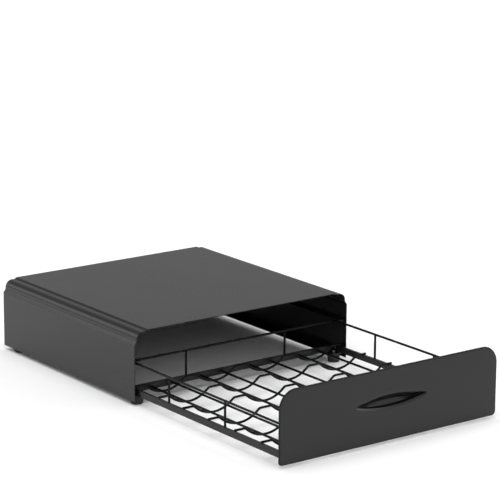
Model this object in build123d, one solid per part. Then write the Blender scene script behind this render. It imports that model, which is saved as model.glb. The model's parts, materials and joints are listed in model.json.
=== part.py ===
from build123d import *
from math import asin, atan2, cos, degrees, radians, sin, sqrt, tan
import os

# Coffee capsule holder: a sheet-metal housing with a wire drawer for disc capsules.
# X runs across the front, +Y to the back and +Z up, in millimetres.
# The origin is on the floor, in the middle of the whole length with the drawer open.

# Housing
housing_width = 336.0
housing_depth = 312.0
housing_height = 96.6
housing_sheet = 1.0
wall_floor_gap = 6.0
bend_radius = 1.5

# Stepped shoulder between a side wall and the top
shoulder_height = 17.8
bevel_run = 3.4
bevel_rise = 4.6
bevel_bend = 5.0
shoulder_radius = 9.6
ledge_width = 4.7
step_run = 2.6
step_rise = 1.8

# Rear panel
rear_rim_depth = 10.0
rear_panel_clearance = 0.3

# Runners
runner_sheet = 1.2
runner_ledge_width = 20.0
runner_flange_width = 9.0
runner_bend = 2.0
runner_end_gap = 1.0

# Feet and their screws
foot_radius = 8.5
foot_height = 11.5
foot_taper = 0.8
foot_edge_radius = 1.0
foot_setback = 12.0
foot_inset = 11.4
screw_diameter = 4.0
screw_clearance = 0.1
screw_head_diameter = 8.0
screw_head_height = 2.6
screw_tip = 2.0
foot_recess_depth = 5.0
foot_recess_clearance = 0.5

# Running clearances between drawer and housing
run_clearance = 0.3
guard_clearance = 0.5
rail_side_gap = 2.3
rear_stop_gap = 0.3
panel_side_clearance = 0.5
panel_top_clearance = 1.6
runner_front_clearance = 0.5

# Drawer frame
engaged_length = 18.4
rail_thickness = 3.0
rail_height = 8.4
wire_diameter = 3.0

# Capsule rows
row_count = 4
row_gap = 4.3
row_side_margin = 3.9
capsule_sink = 8.2
support_angle = 25.0
cradle_count = 6
cradle_first = 37.8
cradle_last_gap = 11.4
cradle_bend = 6.0

# Guard round the drawer
guard_height = 32.3
front_post_place = 110.7
rear_post_gap = 84.7

# Front panel
panel_sheet = 1.5
panel_floor_gap = 4.0
panel_top_radius = 23.2
panel_bottom_radius = 5.5
panel_edge_radius = 1.0

# Pressed pull in the front panel
pull_width = 128.0
pull_tip_height = 54.0
brow_rise = 9.7
lip_drop = 11.2
scoop_depth = 9.5
scoop_wall_angle = 62.0
brow_flat = 0.3
brow_bend = 5.0
scoop_bend = 9.0
pocket_drop = 7.7
pocket_depth = 6.9
pocket_height = 5.5
pocket_bend = 2.0
pocket_foot = 2.0
pocket_seat = 1.1
lip_width = 3.3
lip_depth = 1.6
lip_angle = 50.0
lip_bend = 2.5

# Fasteners behind the front panel
stud_diameter = 4.0
stud_tip = 1.8
stud_clearance = 0.1
nut_across_flats = 7.0
nut_height = 3.2
stud_rail_gap = 12.5
tab_thickness = 1.5
tab_width = 19.0
tab_height = 16.0
tab_corner_radius = 3.0
tab_stud_inset = 6.0

# Stop between drawer and housing
pin_head_radius = 3.2
pin_head_height = 1.6
pin_shank_diameter = 3.0
pin_setback = 4.0
dimple_radius = 2.6
dimple_rail_gap = 0.5
stop_gap = 0.3

# Places across
wall_inside_x = housing_width / 2 - housing_sheet
side_frame_x = wall_inside_x - runner_sheet - rail_side_gap - rail_thickness / 2
rail_outside_x = side_frame_x + rail_thickness / 2
rail_inside_x = side_frame_x - rail_thickness / 2
foot_x = housing_width / 2 - foot_inset
row_pitch = 2 * (rail_inside_x - row_side_margin) / row_count
row_centres = [(i - (row_count - 1) / 2) * row_pitch for i in range(row_count)]
capsule_radius = (row_pitch - row_gap) / 2
axis_above_flat = capsule_radius - capsule_sink
crossbar_stud_places = (row_pitch, rail_inside_x - stud_rail_gap)

# Heights
runner_bottom = foot_height
ledge_top = runner_bottom + runner_sheet
rail_bottom = ledge_top + run_clearance
rail_top = rail_bottom + rail_height
flat_z = rail_top + wire_diameter / 2
row_axis_z = flat_z + axis_above_flat
guard_z = rail_top + guard_height
runner_top = guard_z + wire_diameter / 2 + guard_clearance + runner_sheet
ledge_z = housing_height - step_rise
shoulder_start = housing_height - shoulder_height
panel_top = housing_height - housing_sheet - panel_top_clearance

# Places along, from the open drawer's front face to the back of the housing
drawer_length = housing_depth - housing_sheet - rear_stop_gap
cradle_pitch = (drawer_length - cradle_first - cradle_last_gap) / (cradle_count - 1)
post_places = (front_post_place, drawer_length - rear_post_gap)
travel = drawer_length - engaged_length
front_y = -(travel + housing_depth) / 2
mouth_y = front_y + travel
back_y = mouth_y + housing_depth
panel_back_y = front_y + panel_sheet
rail_end_y = front_y + drawer_length
runner_front_y = mouth_y + panel_sheet + tab_thickness + runner_front_clearance
runner_back_y = back_y - rear_rim_depth - runner_end_gap

# Circles of the pull's two edges, through its tips
pull_half = pull_width / 2
brow_radius = (pull_half**2 + brow_rise**2) / (2 * brow_rise)
lip_radius = (pull_half**2 + lip_drop**2) / (2 * lip_drop)
brow_z = pull_tip_height + brow_rise
lip_z = pull_tip_height - lip_drop


def second_face(points, radii, thickness):
    """Line and bends of a strip's second face, to the left of the points of its first."""
    near = [Vector(*p) for p in points]
    steps = [(b - a).normalized() for a, b in zip(near, near[1:])]
    sides = [Vector(-d.Y, d.X) for d in steps]
    far = [near[0] + sides[0] * thickness]
    far_radii = []
    for i, radius in enumerate(radii):
        mitre = sides[i] + sides[i + 1]
        far.append(near[i + 1] + mitre * (2 * thickness / mitre.dot(mitre)))
        turns_left = steps[i].cross(steps[i + 1]).Z > 0
        far_radii.append(max(radius - thickness, 0) if turns_left else radius + thickness)
    far.append(near[-1] + sides[-1] * thickness)
    return far, far_radii


def strip_outline(points, radii, thickness):
    """Closed outline of an evenly thick strip, with its second face to the left of the points."""
    far, far_radii = second_face(points, radii, thickness)
    corners = [0, *radii, 0, 0, *reversed(far_radii), 0]
    return make_face(FilletPolyline(*points, *reversed(far), radius=corners, close=True))


def extrude_along_y(section, start, end):
    """Solid between two Y places, from a section drawn with its x across and its y up."""
    return Pos(0, start, 0) * extrude(Plane.XZ * section, -(end - start))


def bar(x_range, y_range, z_range):
    """Rectangular bar between two places along each axis."""
    size = [high - low for low, high in (x_range, y_range, z_range)]
    middle = [(high + low) / 2 for low, high in (x_range, y_range, z_range)]
    return Pos(*middle) * Box(*size)


def rod(start, end, diameter):
    """Round rod between two points."""
    axis = Vector(*end) - Vector(*start)
    return extrude(Plane(start, z_dir=axis) * Circle(diameter / 2), axis.length)


def bent_wire(path):
    """Round wire of the drawer along a smooth path."""
    return sweep(Plane(path @ 0, z_dir=path % 0) * Circle(wire_diameter / 2), path)


def mirrored(part):
    """The same piece on the other side of the middle."""
    return mirror(part, Plane.YZ)


def housing_line():
    """Outer face of the housing from one wall's lower edge over the top to the other, with its bends."""
    half = housing_width / 2
    right = [
        (half, wall_floor_gap),
        (half, shoulder_start),
        (half - bevel_run, shoulder_start + bevel_rise),
        (half - bevel_run, ledge_z),
        (half - bevel_run - shoulder_radius - ledge_width, ledge_z),
        (half - bevel_run - shoulder_radius - ledge_width - step_run, housing_height),
    ]
    left = [(-x, z) for x, z in reversed(right)]
    bends = [bend_radius, bevel_bend, shoulder_radius, bend_radius, bend_radius]
    return right + left, bends + bends[::-1]


def make_housing_shell():
    return extrude_along_y(strip_outline(*housing_line(), housing_sheet), mouth_y, back_y)


def rear_outline(inset):
    """Outline of the housing's inside, set in all round."""
    points, radii = housing_line()
    full = make_face(FilletPolyline(*points, radius=[0, *radii, 0], close=True))
    return offset(full, -inset)


def make_rear_panel():
    """Pressed tray with a rim all round, open towards the mouth."""
    inset = housing_sheet + rear_panel_clearance
    tray = extrude_along_y(rear_outline(inset), back_y - rear_rim_depth, back_y)
    hollow = extrude_along_y(rear_outline(inset + housing_sheet), back_y - rear_rim_depth, back_y - housing_sheet)
    return tray - hollow


def stop_dimple():
    """Boss pressed inwards from the right runner's web, with the hollow behind it."""
    z = (rail_bottom + rail_top) / 2
    y = rail_end_y - pin_setback - pin_head_radius - stop_gap - dimple_radius
    web_x = wall_inside_x - runner_sheet
    reach = web_x - rail_outside_x - dimple_rail_gap
    boss = rod((web_x, y, z), (web_x - reach, y, z), 2 * dimple_radius)
    hollow = rod((wall_inside_x, y, z), (wall_inside_x - reach, y, z), 2 * (dimple_radius - runner_sheet / 2))
    return boss, hollow


def foot_places():
    """Middle of each foot, front then back, on the right side."""
    return [(foot_x, mouth_y + foot_setback), (foot_x, back_y - foot_setback - rear_rim_depth)]


def make_right_runner():
    """Folded channel: the ledge below carries the rail and the flange above holds the guard wire down."""
    line = [
        (wall_inside_x - runner_ledge_width, runner_bottom),
        (wall_inside_x, runner_bottom),
        (wall_inside_x, runner_top),
        (wall_inside_x - runner_flange_width, runner_top),
    ]
    section = strip_outline(line, [runner_bend, runner_bend], runner_sheet)
    runner = extrude_along_y(section, runner_front_y, runner_back_y)
    boss, hollow = stop_dimple()
    runner = runner + boss - hollow
    for x, y in foot_places():
        runner -= rod((x, y, runner_bottom), (x, y, ledge_top), screw_diameter + screw_clearance)
    return runner


def make_foot(x, y):
    """Tapered rubber foot with a recess for its screw."""
    body = Cone(foot_radius - foot_taper, foot_radius, foot_height, align=(Align.CENTER, Align.CENTER, Align.MIN))
    body = fillet(body.edges().sort_by(Axis.Z)[0], foot_edge_radius)
    recess_diameter = screw_head_diameter + 2 * foot_recess_clearance
    body -= rod((0, 0, 0), (0, 0, foot_recess_depth), recess_diameter)
    body -= rod((0, 0, 0), (0, 0, foot_height), screw_diameter + screw_clearance)
    return Pos(x, y, 0) * body


def make_foot_screw(x, y):
    """Domed head inside the foot, and a shank up through the runner's ledge."""
    head = rod((0, 0, foot_recess_depth - screw_head_height), (0, 0, foot_recess_depth), screw_head_diameter)
    head = fillet(head.edges().sort_by(Axis.Z)[0], screw_head_height / 2)
    shank = rod((0, 0, foot_recess_depth), (0, 0, ledge_top + screw_tip), screw_diameter)
    return Pos(x, y, 0) * (head + shank)


def eye_face():
    """Eye shape of the pull between its brow and its lip."""
    upper = Pos(0, brow_z - brow_radius) * Circle(brow_radius)
    lower = Pos(0, lip_z + lip_radius) * Circle(lip_radius)
    return upper & lower


def turned(section, axis_z, start, sweep):
    """Section at the middle of the pull, turned about an axis square to the panel."""
    axis = Axis((0, 0, axis_z), (0, 1, 0))
    return revolve(Plane.YZ * section, axis, sweep).rotate(axis, start)


def make_scoop():
    """Trough that sweeps in from the brow, out again towards the lip and down behind it, with closed ends."""
    wall_run = scoop_depth / tan(radians(scoop_wall_angle))
    top = brow_z - brow_flat - brow_bend * tan(radians(scoop_wall_angle / 2))
    pocket_z = pull_tip_height - pocket_drop
    points = [
        (0, brow_z),
        (0, top),
        (scoop_depth, top - wall_run),
        (pocket_depth, pocket_z),
        (pocket_depth, pocket_z - pocket_height),
        (panel_sheet - pocket_seat, pocket_z - pocket_height - pocket_foot),
    ]
    points = [(front_y + y, z) for y, z in points]
    radii = [brow_bend, scoop_bend, pocket_bend, pocket_bend]
    back, back_radii = second_face(points, radii, panel_sheet)
    end_plate = make_face(FilletPolyline(*back, radius=[0, *back_radii, 0], close=True))
    axis_z = brow_z - brow_radius
    half_angle = degrees(asin(pull_half / brow_radius))
    end_angle = degrees(panel_sheet / brow_radius)
    trough = turned(strip_outline(points, radii, panel_sheet), axis_z, -half_angle, 2 * half_angle)
    left_end = turned(end_plate, axis_z, -half_angle - end_angle, end_angle)
    return trough + left_end + mirrored(left_end)


def make_lip():
    """Rolled lower edge of the pull."""
    run = lip_depth / tan(radians(lip_angle))
    points = [(lip_depth, lip_z + lip_width), (0, lip_z + lip_width - run), (0, lip_z)]
    points = [(front_y + y, z) for y, z in points]
    half_angle = degrees(asin(pull_half / lip_radius))
    section = strip_outline(points, [lip_bend], panel_sheet)
    lip = turned(section, lip_z + lip_radius, -half_angle, 2 * half_angle)
    return lip & extrude_along_y(eye_face(), front_y, front_y + scoop_depth)


def make_front_panel():
    """Sheet with rounded corners and the pressed pull: a trough behind its eye, and a rolled lip."""
    half = housing_width / 2 - housing_sheet - panel_side_clearance
    corners = [(-half, panel_floor_gap), (half, panel_floor_gap), (half, panel_top), (-half, panel_top)]
    radii = [panel_bottom_radius, panel_bottom_radius, panel_top_radius, panel_top_radius]
    outline = make_face(FilletPolyline(*corners, radius=radii, close=True))
    sheet = extrude_along_y(outline, front_y, panel_back_y)
    front_edges = sheet.faces().sort_by(Axis.Y)[0].edges()
    sheet = fillet(front_edges, panel_edge_radius)
    sheet -= extrude_along_y(eye_face(), front_y, panel_back_y)
    return sheet + make_scoop() + make_lip()


def stud_places():
    """Middle of each stud and how thick the piece on it is."""
    places = []
    crossbar_z = (rail_bottom + rail_top) / 2
    for x in crossbar_stud_places:
        places += [(-x, crossbar_z, rail_thickness), (x, crossbar_z, rail_thickness)]
    tab_x = tab_outer_x() - tab_width + tab_stud_inset
    places += [(-tab_x, guard_z, tab_thickness), (tab_x, guard_z, tab_thickness)]
    return places


def tab_outer_x():
    """Outer edge of a guard tab, as far outside the wire as the tab is thick."""
    return side_frame_x + wire_diameter / 2 + tab_thickness


def stud_holes():
    """Clearance holes for the studs through whatever lies behind the panel."""
    holes = [
        rod((x, panel_back_y, z), (x, panel_back_y + thickness, z), stud_diameter + 2 * stud_clearance)
        for x, z, thickness in stud_places()
    ]
    return Compound(holes)


def make_panel_stud(x, z, thickness):
    return rod((x, panel_back_y, z), (x, panel_back_y + thickness + nut_height + stud_tip, z), stud_diameter)


def make_panel_nut(x, z, thickness):
    hexagon = RegularPolygon(nut_across_flats / 2, 6, major_radius=False)
    ring = hexagon - Circle(stud_diameter / 2 + stud_clearance)
    start = panel_back_y + thickness
    return Pos(x, 0, z) * extrude_along_y(ring, start, start + nut_height)


def make_crossbar(y):
    """Flat bar on edge between the rails."""
    return bar((-rail_inside_x, rail_inside_x), (y, y + rail_thickness), (rail_bottom, rail_top))


def make_right_rail():
    """Flat bar on edge, from the panel to the back of the drawer, bored for its stop pin."""
    rail = bar((rail_inside_x, rail_outside_x), (panel_back_y, rail_end_y), (rail_bottom, rail_top))
    y, z = rail_end_y - pin_setback, (rail_bottom + rail_top) / 2
    return rail - rod((rail_inside_x, y, z), (rail_outside_x, y, z), pin_shank_diameter)


def make_right_stop_pin():
    """Rivet through the rail, with its head on the outside and its tail flush on the inside."""
    y, z = rail_end_y - pin_setback, (rail_bottom + rail_top) / 2
    head = rod((rail_outside_x, y, z), (rail_outside_x + pin_head_height, y, z), 2 * pin_head_radius)
    shank = rod((rail_inside_x, y, z), (rail_outside_x, y, z), pin_shank_diameter)
    return head + shank


def cradle_path():
    """Line of a cradle wire: flat between the rows, with a round trough under each."""
    trough_radius = capsule_radius + 1.5 * wire_diameter
    drop = axis_above_flat + cradle_bend
    reach = sqrt((trough_radius + cradle_bend) ** 2 - drop**2)
    swing = degrees(atan2(reach, drop))
    place = (-rail_outside_x, flat_z)
    edges = []
    for centre in row_centres:
        edges.append(Line(place, (centre - reach, flat_z)))
        for radius, turn in ((cradle_bend, -swing), (trough_radius, 2 * swing), (cradle_bend, -swing)):
            edges.append(JernArc(edges[-1] @ 1, edges[-1] % 1, radius, turn))
        place = edges[-1] @ 1
    edges.append(Line(place, (rail_outside_x, flat_z)))
    return Wire(edges)


def make_cradle_wire(y):
    return bent_wire(Pos(0, y, 0) * (Plane.XZ * cradle_path()))


def make_support_wire(x, z):
    """Straight wire under a row, between the two crossbars."""
    return rod((x, panel_back_y + rail_thickness, z), (x, rail_end_y - rail_thickness, z), wire_diameter)


def make_right_guard_wire():
    """Side wire from its tab at the panel to the back of the drawer."""
    start = (side_frame_x, panel_back_y + tab_thickness, guard_z)
    return rod(start, (side_frame_x, rail_end_y, guard_z), wire_diameter)


def make_rear_guard_wire():
    """Wire across the back, welded between the two side wires."""
    reach = side_frame_x - wire_diameter / 2
    y = rail_end_y - wire_diameter / 2
    return rod((-reach, y, guard_z), (reach, y, guard_z), wire_diameter)


def make_post(x, y):
    """Upright from a rail or the rear crossbar to the guard wire."""
    return rod((x, y, rail_top), (x, y, guard_z - wire_diameter / 2), wire_diameter)


def make_right_guard_tab():
    """Small plate on the panel's back that the end of the guard wire is welded to."""
    plate = RectangleRounded(tab_width, tab_height, tab_corner_radius)
    plate = Pos(tab_outer_x() - tab_width / 2, guard_z) * plate
    return extrude_along_y(plate, panel_back_y, panel_back_y + tab_thickness) - stud_holes()


def make_parts():
    """Every piece by its name."""
    parts = {"housing_shell": make_housing_shell(), "rear_panel": make_rear_panel()}
    runner = make_right_runner()
    parts["left_runner"] = mirrored(runner)
    parts["right_runner"] = runner
    screws = []
    for end, (x, y) in zip(("front", "rear"), foot_places()):
        for side, sign in (("left", -1), ("right", 1)):
            parts[f"foot_{end}_{side}"] = make_foot(sign * x, y)
            screws.append(make_foot_screw(sign * x, y))
    parts["foot_screws"] = Compound(screws)

    parts["front_panel"] = make_front_panel()
    parts["panel_studs"] = Compound([make_panel_stud(*place) for place in stud_places()])
    parts["panel_nuts"] = Compound([make_panel_nut(*place) for place in stud_places()])
    parts["front_crossbar"] = make_crossbar(panel_back_y) - stud_holes()
    parts["rear_crossbar"] = make_crossbar(rail_end_y - rail_thickness)
    rail = make_right_rail()
    parts["left_rail"] = mirrored(rail)
    parts["right_rail"] = rail
    pin = make_right_stop_pin()
    parts["stop_pins"] = Compound([mirrored(pin), pin])

    for i in range(cradle_count):
        parts[f"cradle_wire_{i + 1}"] = make_cradle_wire(front_y + cradle_first + i * cradle_pitch)
    support_radius = capsule_radius + wire_diameter / 2
    support_z = row_axis_z - support_radius * cos(radians(support_angle))
    support_reach = support_radius * sin(radians(support_angle))
    for i, centre in enumerate(row_centres):
        for j, sign in enumerate((-1, 1)):
            parts[f"support_wire_{2 * i + j + 1}"] = make_support_wire(centre + sign * support_reach, support_z)

    guard = make_right_guard_wire()
    parts["left_guard_wire"] = mirrored(guard)
    parts["right_guard_wire"] = guard
    parts["rear_guard_wire"] = make_rear_guard_wire()
    for side, sign in (("left", -1), ("right", 1)):
        for place, y in zip(("front", "rear"), post_places):
            parts[f"{side}_guard_post_{place}"] = make_post(sign * side_frame_x, front_y + y)
        parts[f"rear_guard_post_{side}"] = make_post(sign * row_pitch, rail_end_y - wire_diameter / 2)
    tab = make_right_guard_tab()
    parts["left_guard_tab"] = mirrored(tab)
    parts["right_guard_tab"] = tab
    return parts


os.makedirs("parts", exist_ok=True)
for name, shape in make_parts().items():
    export_step(shape, f"parts/{name}.step")
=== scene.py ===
import json
import math

import bmesh
import bpy
from mathutils import Matrix, Vector


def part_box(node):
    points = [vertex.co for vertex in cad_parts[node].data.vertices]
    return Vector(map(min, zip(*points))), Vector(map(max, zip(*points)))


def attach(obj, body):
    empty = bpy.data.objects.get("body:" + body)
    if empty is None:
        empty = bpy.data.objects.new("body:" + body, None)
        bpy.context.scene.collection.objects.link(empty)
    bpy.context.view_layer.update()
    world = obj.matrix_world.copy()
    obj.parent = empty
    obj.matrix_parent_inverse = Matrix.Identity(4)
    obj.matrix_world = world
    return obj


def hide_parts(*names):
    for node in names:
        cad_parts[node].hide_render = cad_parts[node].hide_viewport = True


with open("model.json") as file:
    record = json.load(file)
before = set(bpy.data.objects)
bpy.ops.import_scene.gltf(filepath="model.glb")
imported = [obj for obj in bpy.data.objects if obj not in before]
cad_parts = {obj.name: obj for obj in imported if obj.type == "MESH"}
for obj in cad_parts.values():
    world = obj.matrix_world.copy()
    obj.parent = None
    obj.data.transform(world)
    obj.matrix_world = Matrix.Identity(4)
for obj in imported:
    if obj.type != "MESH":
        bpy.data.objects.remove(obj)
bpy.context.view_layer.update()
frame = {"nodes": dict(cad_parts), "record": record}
scene = bpy.context.scene
nodes = frame["nodes"]


def middle_of(node):
    """Middle of a CAD node's box."""
    low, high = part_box(node)
    return (low + high) / 2


# Places taken from the frame, in metres
housing_low, housing_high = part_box("housing_shell")
panel_low, panel_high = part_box("front_panel")
panel_foot = Vector((0, panel_low.y, panel_low.z))

# Sizes of the panel and the fittings, in metres and radians
panel_sheet = 0.0015
panel_edge_radius = 0.001
panel_top_radius = 0.0232
panel_bottom_radius = 0.0055
row_pitch = middle_of("support_wire_3").x - middle_of("support_wire_1").x
rail_inside_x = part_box("right_rail")[0].x
support_angle = math.radians(25)
stud_rail_gap = 0.0125
stud_diameter = 0.004
stud_tip = 0.0018
thread_pitch = 0.0007
nut_across_flats = 0.007
nut_height = 0.0032
nut_bore_clearance = 0.0002
nut_turn = math.radians(17)
tab_stud_inset = 0.006
screw_diameter = 0.004
screw_head_diameter = 0.008
screw_head_height = 0.0026
screw_turn = 9.0
pin_shank_diameter = 0.003

# Stretch of each kind of weld along X, Y and Z, in radii of the wire
weld_between_wires = (0.55, 0.55, 0.34)
weld_at_wire_end = (1.12, 0.3, 1.12)
weld_on_rail = (0.9, 0.7, 0.32)
weld_in_frame_corner = (0.5, 0.5, 2.3)
weld_in_guard_corner = (0.3, 1.0, 1.12)
weld_at_post_end = (1.12, 1.12, 0.36)
weld_unevenness = 0.3

# Pressed pull: the outline of its eye, and how the trough behind it closes up and grows shallow towards the tips
eye_half_width = 0.0548
eye_tip_height = 0.0536
brow_height = 0.0664
deepest_height = 0.0517
lip_top_height = 0.0463
lip_height = 0.0422
lip_fullness = 0.5
closing_start = 0.2
closing_run = 0.65
closing_share = 0.93
shallowing = 0.15

# Front and back of the pull at its middle: corners as depth behind the panel's face and height, each with its radius
pull_section = [
    ((0.0, brow_height), 0.0), ((0.0, 0.0616), 0.0098), ((0.0107, 0.0522), 0.0036), ((0.0086, 0.0495), 0.006),
    ((0.0077, 0.0466), 0.0012), ((0.0077, 0.0412), 0.0022), ((0.0024, 0.0412), 0.001), ((0.0030, 0.0464), 0.0006),
    ((0.0018, 0.0460), 0.0006), ((0.0, 0.0434), 0.0016), ((0.0, lip_height), 0.0),
]
pull_back_section = [
    ((panel_sheet, brow_height), 0.0), ((panel_sheet, 0.0623), 0.0083), ((0.01255, 0.0524), 0.0057),
    ((0.0092, 0.0462), 0.002), ((0.0092, 0.0397), 0.0037), ((panel_sheet, 0.0384), 0.0),
]

# Fineness of the meshes
pull_stations = 120
bend_steps = 12
corner_steps = 24
edge_steps = 8
smooth_angle = math.radians(34)

# Paint: its two shades, its orange peel, painted shade on the wires, and a band of painted shade along the panel's
# edge, darker and duller
sheet_shades = (0.006, 0.006, 0.0064), (0.009, 0.009, 0.0094)
# Painted shade: darker colours for the band along the panel's edge
painted_edge_shade_colours = (0.004, 0.004, 0.0044), (0.006, 0.006, 0.0064)
# Painted shade: the wires take the same paint as the sheets, drawn darker to stand in for the shade falling on them
painted_shade_wire_colours = (0.003, 0.003, 0.0033), (0.005, 0.005, 0.0054)
bar_shades = (0.005, 0.005, 0.0054), (0.007, 0.007, 0.0074)
sheet_peel = 620.0
wire_peel = 900.0
peel_height = 0.00006
edge_band = 0.0026
edge_shade_and_dullness = 0.55

# Camera, as seen from the foot of the front panel's middle
camera_azimuth = math.radians(-36.76)
camera_elevation = math.radians(13.9695)
camera_roll = math.radians(0.3673)
camera_distance = 2.78901
camera_slide = -0.166554
camera_rise = 0.224703
camera_lens = 169.8188
camera_sensor = 36.0
camera_reach = 60.0

# Floor and lights
floor_reach = 14.0
floor_shade = (0.8, 0.8, 0.8)
floor_shade_seen = (0.97, 0.97, 0.97)
lamp_strength = 1.0
lamp_spread = math.radians(60)
lamp_direction = Vector((0.55, 0.2, -1.0))
softbox_width, softbox_height = 1.05, 1.1
softbox_power = 5.1
softbox_distance = 2.2
softbox_aim_y = 0.15
softbox_direction = Vector((-0.55, 0.757, 0.36)).normalized()


class Field:
    """A number, colour or shape on its way between nodes; sums of numbers add Math nodes to the tree."""

    def __init__(self, tree, socket):
        self.tree = tree
        self.socket = socket

    def _math(self, operation, first, second):
        node = self.tree.nodes.new("ShaderNodeMath")
        node.operation = operation
        for place, value in zip(node.inputs, (first, second)):
            if isinstance(value, Field):
                self.tree.links.new(value.socket, place)
            else:
                place.default_value = value
        return Field(self.tree, node.outputs[0])

    def __add__(self, other):
        return self._math("ADD", self, other)

    __radd__ = __add__

    def __sub__(self, other):
        return self._math("SUBTRACT", self, other)

    def __rsub__(self, other):
        return self._math("SUBTRACT", other, self)

    def __mul__(self, other):
        return self._math("MULTIPLY", self, other)

    __rmul__ = __mul__

    def __truediv__(self, other):
        return self._math("DIVIDE", self, other)

    def __rtruediv__(self, other):
        return self._math("DIVIDE", other, self)

    def __pow__(self, other):
        return self._math("POWER", self, other)

    def __gt__(self, other):
        return self._math("GREATER_THAN", self, other)

    def __abs__(self):
        return self._math("ABSOLUTE", self, 0.0)

    def at_least(self, other):
        return self._math("MAXIMUM", self, other)

    def at_most(self, other):
        return self._math("MINIMUM", self, other)


class Tree:
    """Node tree of one finish, light or fitting."""

    def __init__(self, tree):
        self.tree = tree
        tree.nodes.clear()

    def add(self, kind, settings=None, sockets=None):
        """A node of that kind: its settings first, then the values or links of its sockets."""
        node = self.tree.nodes.new(kind)
        for name, value in (settings or {}).items():
            setattr(node, name, value)
        for name, value in (sockets or {}).items():
            links = value if isinstance(value, list) else [value]
            for link in links:
                if isinstance(link, Field):
                    self.tree.links.new(link.socket, node.inputs[name])
                else:
                    node.inputs[name].default_value = link
        return node

    def out(self, node, name=0):
        return Field(self.tree, node.outputs[name])

    def ramp(self, value, start, end, low=0.0, high=1.0):
        """Smooth step of a number from low at start to high at end."""
        return self.out(self.add("ShaderNodeMapRange", {"interpolation_type": "SMOOTHSTEP"}, {
            "Value": value, "From Min": start, "From Max": end, "To Min": low, "To Max": high}))

    def noise(self, place, scale, detail=2.0):
        cloud = self.add("ShaderNodeTexNoise", None, {"Vector": place, "Scale": scale, "Detail": detail})
        return self.out(cloud, "Fac")

    def shades(self, amount, first, second):
        """Colour between two shades."""
        return self.out(self.add("ShaderNodeMix", {"data_type": "RGBA"},
                                 {0: amount, 6: (*first, 1), 7: (*second, 1)}), 2)

    def vector(self, x, y, z):
        return self.out(self.add("ShaderNodeCombineXYZ", None, {"X": x, "Y": y, "Z": z}))


def new_finish(name):
    """Empty material, its tree and the place on the piece."""
    material = bpy.data.materials.new(name)
    material.use_nodes = True
    t = Tree(material.node_tree)
    return material, t, t.out(t.add("ShaderNodeTexCoord"), "Object")


def powder_coat(t, place, shades, roughness, gloss, peel):
    """Powder coat: a slow drift between two shades, an uneven gloss and a fine orange peel."""
    drift = t.noise(place, 14.0, 3.0)
    speck = t.noise(place, peel * 2.3)
    grain = t.noise(place, peel)
    bump = t.add("ShaderNodeBump", None, {"Strength": 0.35, "Distance": peel_height, "Height": grain})
    return t.out(t.add("ShaderNodeBsdfPrincipled", None, {
        "Base Color": t.shades(drift * 0.7 + speck * 0.3, *shades),
        "Roughness": roughness + (drift - 0.5) * 0.06 + (grain - 0.5) * 0.06,
        "Normal": t.out(bump),
        "Specular IOR Level": gloss,
    }))


def plain_paint(name, shades, roughness, gloss, peel):
    """One powder coat all over."""
    material, t, place = new_finish(name)
    coat = powder_coat(t, place, shades, roughness, gloss, peel)
    t.add("ShaderNodeOutputMaterial", None, {"Surface": coat})
    return material


def panel_paint(name, roughness, gloss, peel):
    """Powder coat with painted shade: a darker, duller coat over the panel's rolled edge stands in for the dark
    reflections there.
    """
    material, t, place = new_finish(name)
    coat = powder_coat(t, place, sheet_shades, roughness, gloss, peel)
    # Painted shade: a darker coat with little gloss, standing in for the dark reflections on the rolled edge
    painted_edge_shade_coat = powder_coat(t, place, painted_edge_shade_colours, roughness + 0.15, 0.12, peel)
    part = t.add("ShaderNodeSeparateXYZ", None, {"Vector": place})
    middle = (panel_low + panel_high) / 2
    across, up = abs(t.out(part, "X")), t.out(part, "Z") - middle.z
    upper = up > 0.0
    corner = panel_bottom_radius + upper * (panel_top_radius - panel_bottom_radius)
    x = across - panel_high.x + corner
    z = abs(up) - (panel_high.z - middle.z) + corner
    inside = x.at_least(z).at_most(0.0)
    outside = (x.at_least(0.0) ** 2.0 + z.at_least(0.0) ** 2.0) ** 0.5
    # Painted shade mask: a band along the panel's outline, mixed over the coat
    edge = t.ramp(inside + outside - corner, -edge_band, -0.3 * edge_band, 0.0, edge_shade_and_dullness)
    mixed = t.add("ShaderNodeMixShader", None, {0: edge, 1: coat, 2: painted_edge_shade_coat})
    t.add("ShaderNodeOutputMaterial", None, {"Surface": t.out(mixed)})
    return material


def rubber(name):
    """Moulded rubber, dusty in patches."""
    material, t, place = new_finish(name)
    dust = t.noise(place, 160.0, 5.0)
    bump = t.add("ShaderNodeBump", None, {"Strength": 0.4, "Distance": 0.0002, "Height": t.noise(place, 2400.0)})
    shader = t.add("ShaderNodeBsdfPrincipled", None, {
        "Base Color": t.shades(dust, (0.012, 0.012, 0.012), (0.026, 0.026, 0.026)),
        "Roughness": 0.7 + dust * 0.2, "Normal": t.out(bump)})
    t.add("ShaderNodeOutputMaterial", None, {"Surface": t.out(shader)})
    return material


def zinc(name):
    """Bright zinc with faint clouds of blue and yellow."""
    material, t, place = new_finish(name)
    cloud = t.noise(place, 420.0, 4.0)
    bump = t.add("ShaderNodeBump", None, {"Strength": 0.15, "Distance": 0.00005, "Height": t.noise(place, 3200.0)})
    shader = t.add("ShaderNodeBsdfPrincipled", None, {
        "Base Color": t.shades(cloud, (0.52, 0.54, 0.57), (0.62, 0.60, 0.56)),
        "Roughness": 0.28 + cloud * 0.2, "Metallic": 1.0, "Normal": t.out(bump)})
    t.add("ShaderNodeOutputMaterial", None, {"Surface": t.out(shader)})
    return material


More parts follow.
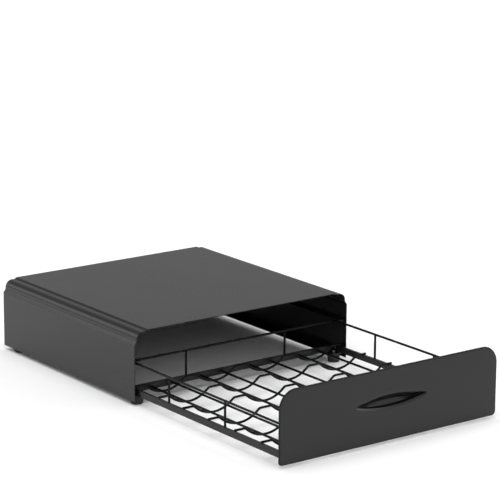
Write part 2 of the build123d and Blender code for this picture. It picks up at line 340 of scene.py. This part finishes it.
finishes = {
    "housing_paint": plain_paint("housing_paint", sheet_shades, 0.26, 0.40, sheet_peel),
    "panel_paint": panel_paint("panel_paint", 0.30, 0.40, sheet_peel),
    # Painted shade: the wire coat is darker than the sheets' coat of the same paint
    "wire_paint": plain_paint("wire_paint", painted_shade_wire_colours, 0.34, 0.14, wire_peel),
    "foot_rubber": rubber("foot_rubber"),
    "plated_steel": zinc("plated_steel"),
}
bar_paint = plain_paint("bar_paint", bar_shades, 0.30, 0.31, wire_peel)
for piece in frame["record"]["subparts"]:
    name = piece["node"]
    flat_bar = name.endswith(("_rail", "_crossbar", "_tab"))
    shown = nodes[name]
    shown.data.materials.clear()
    shown.data.materials.append(bar_paint if flat_bar else finishes[piece["material_slot"]])


def set_fittings(name, body, slot, places, sizes, shape):
    """One mesh of a fitting that repeats: a place is its middle, its turn and its stretch."""
    points = bpy.data.meshes.new(name + "_places")
    points.from_pydata([place for place, turn, stretch in places], [], [])
    for label, column in (("turn", 1), ("stretch", 2)):
        store = points.attributes.new(label, "FLOAT_VECTOR", "POINT")
        for value, row in zip(store.data, places):
            value.vector = row[column]
    carrier = bpy.data.objects.new(name + "_places", points)
    scene.collection.objects.link(carrier)
    group = bpy.data.node_groups.new(name, "GeometryNodeTree")
    t = Tree(group)
    group.interface.new_socket("Places", in_out="INPUT", socket_type="NodeSocketGeometry")
    for label in sizes:
        group.interface.new_socket(label, in_out="INPUT", socket_type="NodeSocketFloat")
    group.interface.new_socket("Fittings", in_out="OUTPUT", socket_type="NodeSocketGeometry")
    given = t.add("NodeGroupInput")
    one = shape(t, {label: t.out(given, label) for label in sizes})
    turn = t.add("GeometryNodeInputNamedAttribute", {"data_type": "FLOAT_VECTOR"}, {"Name": "turn"})
    stretch = t.add("GeometryNodeInputNamedAttribute", {"data_type": "FLOAT_VECTOR"}, {"Name": "stretch"})
    turned = t.add("FunctionNodeEulerToRotation", None, {"Euler": t.out(turn)})
    spread = t.add("GeometryNodeInstanceOnPoints", None, {
        "Points": t.out(given, "Places"), "Instance": one, "Rotation": t.out(turned), "Scale": t.out(stretch)})
    real = t.add("GeometryNodeRealizeInstances", None, {"Geometry": t.out(spread)})
    dressed = t.add("GeometryNodeSetMaterial", None, {"Geometry": t.out(real), "Material": finishes[slot]})
    t.add("NodeGroupOutput", None, {"Fittings": t.out(dressed)})
    modifier = carrier.modifiers.new(name, "NODES")
    modifier.node_group = group
    for item in group.interface.items_tree:
        if item.in_out == "INPUT" and item.name in sizes:
            modifier[item.identifier] = sizes[item.name]
    made = carrier.evaluated_get(bpy.context.evaluated_depsgraph_get())
    mesh = bpy.data.meshes.new_from_object(made)
    mesh.name = name
    mesh.shade_smooth()
    mesh.set_sharp_from_angle(angle=smooth_angle)
    bpy.data.objects.remove(carrier)
    piece = bpy.data.objects.new(name, mesh)
    scene.collection.objects.link(piece)
    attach(piece, body)
    return piece


def drum(t, radius, low, high, sides=48):
    """Upright cylinder between two heights."""
    body = t.add("GeometryNodeMeshCylinder", None, {"Vertices": sides, "Radius": radius, "Depth": high - low})
    lifted = t.add("GeometryNodeTransform", None, {
        "Geometry": t.out(body, "Mesh"), "Translation": t.vector(0.0, 0.0, (high + low) / 2)})
    return t.out(lifted)


def dome(t, radius, height):
    """Flattened ball round the origin."""
    ball = t.add("GeometryNodeMeshUVSphere", None, {"Segments": 48, "Rings": 24, "Radius": 1.0})
    return t.out(t.add("GeometryNodeTransform", None, {
        "Geometry": t.out(ball, "Mesh"), "Scale": t.vector(radius, radius, height)}))


def shared(t, *bodies):
    """What the bodies have in common."""
    return t.out(t.add("GeometryNodeMeshBoolean", {"operation": "INTERSECT"}, {"Mesh 2": list(bodies)}))


def cut(t, body, *tools):
    """What the tools leave of the body."""
    return t.out(t.add("GeometryNodeMeshBoolean", {"operation": "DIFFERENCE"}, {
        "Mesh 1": body, "Mesh 2": list(tools)}))


def joined(t, *bodies):
    return t.out(t.add("GeometryNodeJoinGeometry", None, {"Geometry": list(bodies)}))


def thread(t, diameter, length, pitch):
    """Core with a ridge wound round it up to the full diameter, plain for a little at both ends."""
    ridge = pitch * 0.45
    core_radius = diameter / 2 - ridge
    lead_in, plain_ends = pitch * 0.6, 1.4
    path = t.add("GeometryNodeCurveSpiral", None, {
        "Resolution": 20, "Rotations": length / pitch - plain_ends, "Start Radius": core_radius,
        "End Radius": core_radius, "Height": length - pitch * plain_ends})
    raised = t.add("GeometryNodeTransform", None, {
        "Geometry": t.out(path), "Translation": t.vector(0.0, 0.0, lead_in)})
    tooth = t.add("GeometryNodeCurvePrimitiveCircle", {"mode": "RADIUS"}, {"Resolution": 6, "Radius": ridge})
    wound = t.add("GeometryNodeCurveToMesh", None, {
        "Curve": t.out(raised), "Profile Curve": t.out(tooth), "Fill Caps": True})
    return joined(t, drum(t, core_radius, 0.0, length), t.out(wound))


def hex_nut(t, size):
    """Hexagon with its corners turned down at both ends, bored through."""
    corner = size["Across flats"] / (2 * math.cos(math.radians(30)))
    half = size["Height"] / 2
    prism = drum(t, corner, -1 * half, half, 6)
    trimmed = shared(t, prism, dome(t, corner * 1.03, half * 1.8))
    return cut(t, trimmed, drum(t, size["Bore"] / 2, -1.2 * half, 1.2 * half))


def stud(t, size):
    return thread(t, size["Diameter"], size["Length"], size["Pitch"])


def pan_screw(t, size):
    """Domed head with a cross recess under a threaded shank."""
    radius, height = size["Head diameter"] / 2, size["Head height"]
    head = shared(t, drum(t, radius, -1 * height, 0.0), dome(t, radius * 1.04, height * 1.06))
    recess_length, recess_width = radius * 1.16, radius * 0.26
    slots = []
    for x, y in ((recess_length, recess_width), (recess_width, recess_length)):
        bar = t.add("GeometryNodeMeshCube", None, {"Size": t.vector(x, y, height * 1.1)})
        slots.append(t.out(t.add("GeometryNodeTransform", None, {
            "Geometry": t.out(bar, "Mesh"), "Translation": t.vector(0.0, 0.0, -1 * height)})))
    return joined(t, cut(t, head, *slots), thread(t, size["Shank"], size["Length"], size["Pitch"]))


def rivet(t, size):
    """Low set head, a little flat on top, with the shank through the bar."""
    radius, height = size["Head diameter"] / 2, size["Head height"]
    head = shared(t, drum(t, radius, 0.0, height), dome(t, radius * 1.12, height * 1.12))
    return joined(t, head, drum(t, size["Shank"] / 2, -1 * size["Length"], height * 0.5))


def weld(t, size):
    """Small lump of weld metal, uneven all round."""
    lump = t.add("GeometryNodeMeshIcoSphere", None, {"Radius": 1.0, "Subdivisions": 3})
    here = t.out(t.add("GeometryNodeInputPosition"))
    rough = t.noise(here, 1.7, 1.0)
    grown = t.add("ShaderNodeVectorMath", {"operation": "SCALE"}, {
        0: here, "Scale": (rough - 0.5) * size["Unevenness"]})
    shaped = t.add("GeometryNodeSetPosition", None, {"Geometry": t.out(lump, "Mesh"), "Offset": t.out(grown)})
    return t.out(t.add("GeometryNodeTransform", None, {
        "Geometry": t.out(shaped), "Scale": t.vector(size["Radius"], size["Radius"], size["Radius"])}))


def set_panel_fasteners():
    """Threaded studs behind the front panel, through the crossbar and the guard tabs, with a nut on each."""
    bar_low, bar_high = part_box("front_crossbar")
    tab_low, tab_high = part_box("right_guard_tab")
    bar_z, tab_z = (bar_low.z + bar_high.z) / 2, (tab_low.z + tab_high.z) / 2
    places = []
    for x in (row_pitch, rail_inside_x - stud_rail_gap):
        places += [(-x, bar_z, bar_high.y), (x, bar_z, bar_high.y)]
    tab_x = tab_low.x + tab_stud_inset
    places += [(-tab_x, tab_z, tab_high.y), (tab_x, tab_z, tab_high.y)]
    full = bar_high.y - bar_low.y + nut_height + stud_tip
    studs, nuts = [], []
    for count, (x, z, seat) in enumerate(places):
        length = seat - bar_low.y + nut_height + stud_tip
        studs.append(((x, bar_low.y, z), (math.radians(-90), 0, 0), (1, 1, length / full)))
        nuts.append(((x, seat + nut_height / 2, z), (math.radians(-90), nut_turn * count, 0), (1, 1, 1)))
    piece = set_fittings("panel_stud_threads", "drawer", "plated_steel", studs, {
        "Diameter": stud_diameter, "Length": full, "Pitch": thread_pitch}, stud)
    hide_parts("panel_studs")
    piece = set_fittings("panel_hex_nuts", "drawer", "plated_steel", nuts, {
        "Across flats": nut_across_flats, "Height": nut_height, "Bore": stud_diameter + nut_bore_clearance}, hex_nut)
    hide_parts("panel_nuts")


def set_foot_screws():
    """A screw up through each foot, each with its recess at another turn."""
    low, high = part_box("foot_screws")
    places = []
    for name in ("foot_front_left", "foot_front_right", "foot_rear_left", "foot_rear_right"):
        middle = middle_of(name)
        places.append(((middle.x, middle.y, low.z + screw_head_height), (0, 0, middle.y * screw_turn), (1, 1, 1)))
    piece = set_fittings("foot_pan_screws", "housing", "plated_steel", places, {
        "Head diameter": screw_head_diameter, "Head height": screw_head_height, "Shank": screw_diameter,
        "Length": high.z - low.z - screw_head_height, "Pitch": thread_pitch}, pan_screw)
    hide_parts("foot_screws")


def set_stop_rivets():
    """A rivet through the back of each rail, its head on the outside."""
    low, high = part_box("stop_pins")
    rail_low, rail_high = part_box("right_rail")
    y, z = (low.y + high.y) / 2, (low.z + high.z) / 2
    places = [((side * rail_high.x, y, z), (0, math.radians(side * 90), 0), (1, 1, 1)) for side in (-1, 1)]
    piece = set_fittings("stop_rivet_heads", "drawer", "plated_steel", places, {
        "Head diameter": high.y - low.y, "Head height": high.x - rail_high.x, "Shank": pin_shank_diameter,
        "Length": rail_high.x - rail_low.x}, rivet)
    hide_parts("stop_pins")


def set_wire_welds():
    """Weld metal wherever two wires or bars of the drawer meet."""
    cradles = [middle_of(f"cradle_wire_{i + 1}").y for i in range(6)]
    rail_low, rail_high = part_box("right_rail")
    rail_x = (rail_low.x + rail_high.x) / 2
    wire_low, wire_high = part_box("left_guard_wire")
    wire_radius = (wire_high.x - wire_low.x) / 2
    guard_z = (wire_low.z + wire_high.z) / 2
    front_bar, rear_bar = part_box("front_crossbar"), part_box("rear_crossbar")
    bar_faces = front_bar[1].y, rear_bar[0].y
    tab_back, corner_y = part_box("right_guard_tab")[1].y, middle_of("rear_guard_wire").y
    level = (0, 0, 0)
    places = []
    for i in range(8):
        side = 1 if i % 2 else -1
        support = middle_of(f"support_wire_{i + 1}")
        lean = Vector((side * math.sin(support_angle), 0, -math.cos(support_angle)))
        contact = support + lean * wire_radius
        for y in cradles:
            places.append(((contact.x, y, contact.z), (0, side * -support_angle, 0), weld_between_wires))
        for y in bar_faces:
            places.append(((support.x, y, support.z), level, weld_at_wire_end))
    for side in (-1, 1):
        for y in cradles:
            places.append(((side * rail_x, y, rail_high.z), level, weld_on_rail))
        for (bar_low, bar_high), y in zip((front_bar, rear_bar), bar_faces):
            places.append(((side * rail_low.x, y, (bar_low.z + bar_high.z) / 2), level, weld_in_frame_corner))
        places.append(((side * rail_x, tab_back, guard_z), level, weld_at_wire_end))
        places.append(((side * (rail_x - wire_radius), corner_y, guard_z), level, weld_in_guard_corner))
    for name in nodes:
        if "guard_post" in name:
            low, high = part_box(name)
            for z in (low.z, high.z):
                places.append((((low.x + high.x) / 2, (low.y + high.y) / 2, z), level, weld_at_post_end))
    set_fittings("wire_welds", "drawer", "wire_paint", places, {
        "Radius": wire_radius, "Unevenness": weld_unevenness}, weld)


def rounded_line(corners):
    """Points along a line whose corners have radii: corners are ((depth, height), radius)."""
    points = [Vector(corners[0][0])]
    for (before, _), (here, radius), (after, _) in zip(corners, corners[1:], corners[2:]):
        here = Vector(here)
        back, on = (Vector(before) - here).normalized(), (Vector(after) - here).normalized()
        half = back.angle(on) / 2
        centre = here + (back + on).normalized() * (radius / math.sin(half))
        first = here + back * (radius / math.tan(half)) - centre
        last = here + on * (radius / math.tan(half)) - centre
        for step in range(bend_steps + 1):
            part = step / bend_steps
            points.append(centre + (first * (1 - part) + last * part).normalized() * radius)
    points.append(Vector(corners[-1][0]))
    return points


def rounded_outline(inset, depth):
    """Loop round the panel at a depth behind its face, drawn in by a little."""
    loop = []
    for across, up, start in ((1, -1, 270), (1, 1, 0), (-1, 1, 90), (-1, -1, 180)):
        radius, height = (panel_top_radius, panel_high.z) if up == 1 else (panel_bottom_radius, panel_low.z)
        x, z = across * (panel_high.x - radius), height - up * radius
        for step in range(corner_steps + 1):
            turn = math.radians(start + 90 * step / corner_steps)
            reach = radius - inset
            loop.append((x + reach * math.cos(turn), panel_low.y + depth, z + reach * math.sin(turn)))
    return loop


def eye_levels(along):
    """Heights of the brow, the trough's floor, the lip's top and its foot, at a share of the eye's half width."""
    open_part = max(1 - along ** 2, 0.0)
    brow = eye_tip_height + (brow_height - eye_tip_height) * open_part
    lip_top = eye_tip_height + (lip_top_height - eye_tip_height) * open_part
    lip = eye_tip_height + (lip_height - eye_tip_height) * open_part ** lip_fullness
    closing = min(max((abs(along) - closing_start) / closing_run, 0.0), 1.0)
    closing = closing * closing * (3 - 2 * closing)
    floor_share = (deepest_height - lip_top_height) / (brow_height - lip_top_height) * (1 - closing_share * closing)
    return brow, lip_top + (brow - lip_top) * floor_share, lip_top, lip


def pull_loft(bm, section, seat):
    """Skin of the pull on one side of the sheet, drawn out to a point at both ends of the eye; gives its rim."""
    line = rounded_line(section)
    levels = (brow_height, deepest_height, lip_top_height, lip_height)
    rows = []
    for station in range(pull_stations + 1):
        along = math.sin(math.pi * (station / pull_stations - 0.5))
        here = eye_levels(along)
        depth_share = max(1 - along ** 2, 0.0) ** shallowing
        row = []
        for depth, height in line:
            band = sum(height < level for level in levels[1:3])
            share = (levels[band] - height) / (levels[band] - levels[band + 1])
            y = panel_low.y + seat + (depth - seat) * depth_share
            row.append((along * eye_half_width, y, here[band] + (here[band + 1] - here[band]) * share))
        rows.append(row)
    tips = [bm.verts.new(rows[0][0]), bm.verts.new(rows[-1][0])]
    grid = [[bm.verts.new(point) for point in row] for row in rows[1:-1]]
    for left, right in zip(grid, grid[1:]):
        for i in range(len(line) - 1):
            bm.faces.new((left[i], left[i + 1], right[i + 1], right[i]))
    for tip, row in ((tips[0], grid[0]), (tips[1], grid[-1])):
        for i in range(len(line) - 1):
            bm.faces.new((tip, row[i], row[i + 1]))
    return [tips[0]] + [row[0] for row in grid] + [tips[1]] + [row[-1] for row in reversed(grid)]


def ring_edges(bm, ring):
    """Edges round a closed ring of points."""
    return [bm.edges.get(pair) or bm.edges.new(pair) for pair in zip(ring, ring[1:] + ring[:1])]


def make_front_panel():
    """Sheet with rolled edges, and the pull pressed into it in one smooth skin front and back."""
    bm = bmesh.new()
    rings = []
    for step in range(edge_steps + 1):
        turn = math.radians(90 * step / edge_steps)
        inset, depth = panel_edge_radius * (1 - math.sin(turn)), panel_edge_radius * (1 - math.cos(turn))
        rings.append([bm.verts.new(p) for p in rounded_outline(inset, depth)])
    rings.append([bm.verts.new(p) for p in rounded_outline(0.0, panel_sheet)])
    for first, second in zip(rings, rings[1:]):
        for i in range(len(first)):
            bm.faces.new((first[i - 1], first[i], second[i], second[i - 1]))
    for section, seat, ring in ((pull_section, 0.0, rings[0]), (pull_back_section, panel_sheet, rings[-1])):
        rim = pull_loft(bm, section, seat)
        bmesh.ops.triangle_fill(bm, use_beauty=True, edges=ring_edges(bm, ring) + ring_edges(bm, rim))
    bmesh.ops.recalc_face_normals(bm, faces=bm.faces)
    mesh = bpy.data.meshes.new("pressed_front_panel")
    bm.to_mesh(mesh)
    bm.free()
    mesh.materials.append(finishes["panel_paint"])
    mesh.shade_smooth()
    mesh.set_sharp_from_angle(angle=smooth_angle)
    piece = bpy.data.objects.new("pressed_front_panel", mesh)
    scene.collection.objects.link(piece)
    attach(piece, "drawer")
    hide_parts("front_panel")


def make_camera():
    """Camera at the photograph's place, with a slight roll."""
    across, up_tilt = math.sin(camera_azimuth), math.sin(camera_elevation)
    level = math.cos(camera_elevation)
    back = Vector((across * level, -math.cos(camera_azimuth) * level, up_tilt))
    right = Vector((math.cos(camera_azimuth), across, 0))
    up = back.cross(right)
    turn, lean = math.cos(camera_roll), math.sin(camera_roll)
    right, up = right * turn + up * lean, up * turn - right * lean
    place = panel_foot + back * camera_distance + right * camera_slide + up * camera_rise
    data = bpy.data.cameras.new("photo_camera")
    data.lens = camera_lens
    data.sensor_width = camera_sensor
    data.clip_end = camera_reach
    camera = bpy.data.objects.new("photo_camera", data)
    turned = Matrix((right, up, back)).transposed().to_4x4()
    camera.matrix_world = Matrix.Translation(place) @ turned
    scene.collection.objects.link(camera)
    scene.camera = camera


def make_floor():
    """Plain pale floor, white to the eye and in reflections, that still takes the shadow."""
    mesh = bpy.data.meshes.new("floor")
    corners = [(x * floor_reach, y * floor_reach, 0) for x, y in ((-1, -1), (1, -1), (1, 1), (-1, 1))]
    mesh.from_pydata(corners, [], [(0, 1, 2, 3)])
    floor = bpy.data.objects.new("floor", mesh)
    material = bpy.data.materials.new("floor_pale")
    material.use_nodes = True
    t = Tree(material.node_tree)
    path = t.add("ShaderNodeLightPath")
    seen = t.out(path, "Is Camera Ray") + t.out(path, "Is Glossy Ray") + t.out(path, "Is Transmission Ray")
    shader = t.add("ShaderNodeBsdfDiffuse", None, {
        "Color": t.shades(seen.at_most(1.0), floor_shade, floor_shade_seen)})
    t.add("ShaderNodeOutputMaterial", None, {"Surface": t.out(shader)})
    mesh.materials.append(material)
    scene.collection.objects.link(floor)


def aim(name, light, direction):
    """Light that shines along a direction."""
    lamp = bpy.data.objects.new(name, light)
    lamp.rotation_mode = "QUATERNION"
    lamp.rotation_quaternion = direction.to_track_quat("-Z", "Y")
    scene.collection.objects.link(lamp)
    return lamp


def light_room():
    """Soft light from all round: walls and a bright ceiling, a pale screen in front and a strip at the right."""
    world = bpy.data.worlds.new("studio")
    scene.world = world
    world.use_nodes = True
    t = Tree(world.node_tree)
    ray = t.out(t.add("ShaderNodeTexCoord"), "Generated")
    part = t.add("ShaderNodeSeparateXYZ", None, {"Vector": ray})
    right, front, height = t.out(part, "X"), -1 * t.out(part, "Y"), t.out(part, "Z")
    walls = t.ramp(height, 0.35, 0.65, 0.47, 0.38)
    ceiling = t.ramp(height, 0.88, 0.96, 0.0, 2.0)
    screen = t.ramp(front, 0.0, 0.7) * t.ramp(height, -0.1, 0.3, 0.0, 0.55) * t.ramp(height, 0.45, 0.7, 1.0, 0.0)
    strip = t.ramp(right, 0.7, 0.8) * t.ramp(height, 0.25, 0.4) * t.ramp(height, 0.55, 0.66, 2.8, 0.0)
    back = t.add("ShaderNodeBackground", None, {"Color": (1, 1, 1, 1), "Strength": walls + ceiling + screen + strip})
    t.add("ShaderNodeOutputWorld", None, {"Surface": t.out(back)})


def light_lamps():
    """One broad lamp from above on the left, and a softbox behind the left wall that the camera doesn't see."""
    sun = bpy.data.lights.new("broad_lamp", "SUN")
    sun.energy = lamp_strength
    sun.angle = lamp_spread
    aim("broad_lamp", sun, lamp_direction)
    box = bpy.data.lights.new("side_softbox", "AREA")
    box.shape = "RECTANGLE"
    box.size, box.size_y = softbox_width, softbox_height
    box.energy = softbox_power
    softbox = aim("side_softbox", box, -softbox_direction)
    wall_top = Vector((housing_low.x, softbox_aim_y, housing_high.z))
    softbox.location = wall_top + softbox_direction * softbox_distance
    softbox.visible_camera = False


make_front_panel()
set_panel_fasteners()
set_foot_screws()
set_stop_rivets()
set_wire_welds()
make_camera()
make_floor()
light_room()
light_lamps()
scene.view_settings.view_transform = "Standard"
